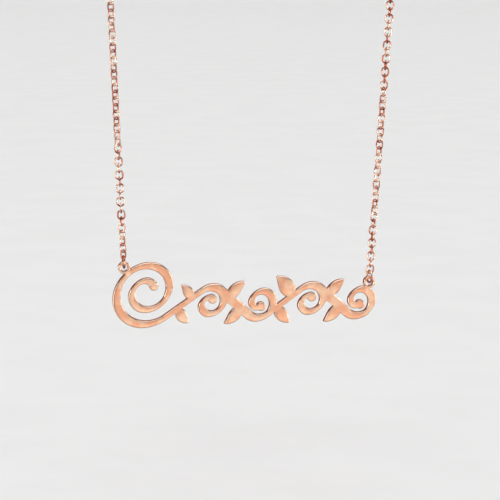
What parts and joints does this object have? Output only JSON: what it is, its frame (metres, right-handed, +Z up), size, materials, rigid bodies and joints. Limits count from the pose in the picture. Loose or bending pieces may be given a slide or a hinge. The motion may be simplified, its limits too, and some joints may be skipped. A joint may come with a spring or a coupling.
{
  "type": "nameplate necklace",
  "caption": "Flat openwork scroll nameplate on a fine cable chain that closes at the back with a plain clasp, all in rose-coloured metal.",
  "frame": {"origin": "crown of the round peg that the necklace hangs over, under the middle of the clasp", "axes": "+Z up, +X to the right of someone who looks at the plate's face, and the plate's face looks along -Y"},
  "size_m": [0.057, 0.0043, 0.1989],
  "materials": {
    "plate": "rose-coloured plating, satin face with polished edges",
    "chain": "rose-coloured plating, polished",
    "clasp": "rose-coloured plating, polished"
  },
  "bodies": {
    "root": {"nameplate": "plate", "jump_ring_left": "chain", "jump_ring_right": "chain", "chain_left": "chain", "chain_right": "chain", "chain_left_back": "chain", "chain_right_back": "chain", "clasp": "clasp", "clasp_ring_left": "clasp", "clasp_ring_right": "clasp"}
  },
  "joints": []
}
